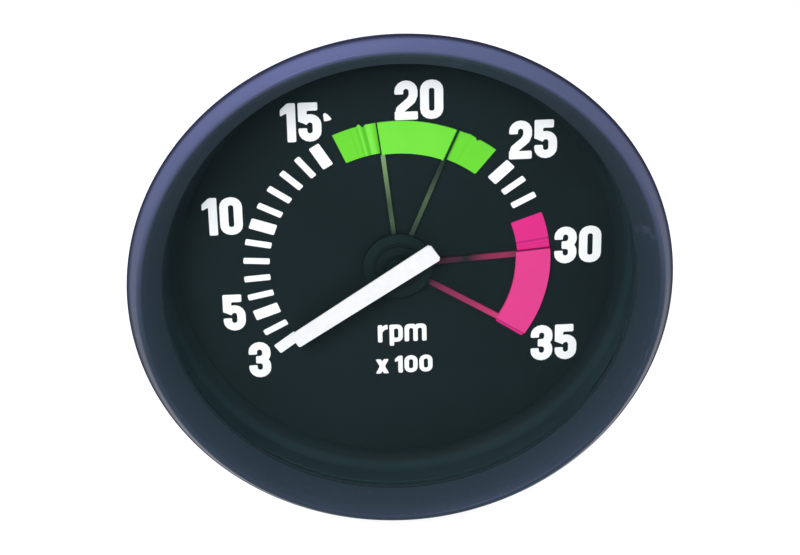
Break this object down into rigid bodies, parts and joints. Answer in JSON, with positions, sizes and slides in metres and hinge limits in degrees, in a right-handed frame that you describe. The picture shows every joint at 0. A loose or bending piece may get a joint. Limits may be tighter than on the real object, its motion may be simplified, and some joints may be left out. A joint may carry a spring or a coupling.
{
  "type": "truck tachometer",
  "caption": "Round panel tachometer with black bezel, curved mask, white scale, two coloured sector markers and a bar pointer, in a stepped steel case with rear studs and lamps.",
  "frame": {"origin": "on the instrument's axis in the panel seat, the plane of the gasket's rear face", "axes": "+Y into the panel along the instrument's axis, away from the viewer; +Z to 12 o'clock; +X to 3 o'clock"},
  "size_m": [0.11, 0.0596, 0.11],
  "materials": {
    "bezel_paint": "satin blue-black paint on pressed steel",
    "clear_glass": "clear flat glass with a faint reflection",
    "seal_rubber": "black moulded rubber",
    "mask_black": "deep black satin moulding",
    "case_steel": "zinc-plated deep-drawn steel, dulled",
    "dial_black": "matt black print with a slight green cast",
    "print_white": "white screen print",
    "print_green": "green screen print",
    "print_pink": "magenta screen print",
    "marker_green": "green painted strip",
    "marker_pink": "pink painted strip",
    "pointer_white": "white painted pointer",
    "black_plastic": "black moulded plastic",
    "white_plastic": "white moulded plastic",
    "bright_steel": "bright steel",
    "black_steel": "blackened spring steel",
    "brass": "plain brass",
    "magnet_grey": "dark sintered magnet",
    "zinc_steel": "zinc-plated steel",
    "bobbin_plastic": "dark moulded plastic",
    "copper_wire": "enamelled copper wire",
    "board_green": "green glass-fibre board",
    "chip_black": "black moulded chip",
    "capacitor_blue": "sleeved aluminium can",
    "resistor_tan": "lacquered resistor",
    "trimmer_blue": "blue moulded plastic",
    "block_plastic": "cream moulded insulating plastic",
    "bulb_glass": "clear bulb glass"
  },
  "bodies": {
    "case": {"bezel_ring": "bezel_paint", "front_glass": "clear_glass", "glass_seal": "seal_rubber", "mask_ring": "mask_black", "case_shell": "case_steel", "panel_gasket": "seal_rubber", "dial_plate": "dial_black", "dial_feet": "brass", "scale_marks": "print_white", "green_band": "print_green", "red_band": "print_pink", "dial_numbers": "print_white", "dial_lettering": "print_white", "marker_bush": "black_plastic", "marker_washer": "white_plastic", "marker_spring": "black_steel", "marker_clip": "black_plastic", "movement_frame": "white_plastic", "frame_screws": "zinc_steel", "front_bobbin": "bobbin_plastic", "rear_bobbin": "bobbin_plastic", "inner_winding": "copper_wire", "outer_winding": "copper_wire", "winding_pins": "zinc_steel", "front_bearing": "brass", "rear_bearing": "brass", "zero_magnet": "magnet_grey", "shield_can": "bright_steel", "board_pillars": "brass", "circuit_board": "board_green", "board_screws": "zinc_steel", "driver_chip": "chip_black", "capacitors": "capacitor_blue", "resistors": "resistor_tan", "trimmer_body": "trimmer_blue", "trimmer_plug": "seal_rubber", "terminal_block": "block_plastic", "terminal_blades": "brass", "terminal_rivets": "zinc_steel", "mounting_studs": "zinc_steel", "stud_nuts": "zinc_steel"},
    "pointer": {"pointer_blade": "pointer_white", "pointer_hub": "black_plastic", "pointer_shaft": "bright_steel", "stop_arm": "brass", "rotor_magnet": "magnet_grey"},
    "green_marker_arm": {"green_marker": "marker_green"},
    "red_marker_arm": {"red_marker": "marker_pink"},
    "trimmer": {"trimmer_rotor": "white_plastic"},
    "left_lamp": {"lamp_holder_left": "block_plastic", "lamp_contacts_left": "brass", "lamp_bulb_left": "bulb_glass"},
    "right_lamp": {"lamp_holder_right": "block_plastic", "lamp_contacts_right": "brass", "lamp_bulb_right": "bulb_glass"}
  },
  "joints": [
    {"name": "pointer_swing", "type": "hinge", "parent": "case", "child": "pointer", "pos_m": [0, 0, 0], "axis": [0, 1, 0], "range_deg": [0, 252], "stiffness_Nm_per_rad": 0.00001, "springref_deg": -11.46},
    {"name": "green_marker_set", "type": "hinge", "parent": "case", "child": "green_marker_arm", "pos_m": [0, 0.009, 0], "axis": [0, 1, 0], "range_deg": [-15, 15]},
    {"name": "red_marker_set", "type": "hinge", "parent": "case", "child": "red_marker_arm", "pos_m": [0, 0.009, 0], "axis": [0, 1, 0], "range_deg": [-10, 10]},
    {"name": "trimmer_adjust", "type": "hinge", "parent": "case", "child": "trimmer", "pos_m": [0, 0.034, 0.019], "axis": [0, 1, 0], "range_deg": [-135, 135]},
    {"name": "left_lamp_twist", "type": "hinge", "parent": "case", "child": "left_lamp", "pos_m": [-0.017, 0.036, 0.02], "axis": [0, 1, 0], "range_deg": [0, 60]},
    {"name": "right_lamp_twist", "type": "hinge", "parent": "case", "child": "right_lamp", "pos_m": [0.017, 0.036, 0.02], "axis": [0, 1, 0], "range_deg": [0, 60]}
  ]
}
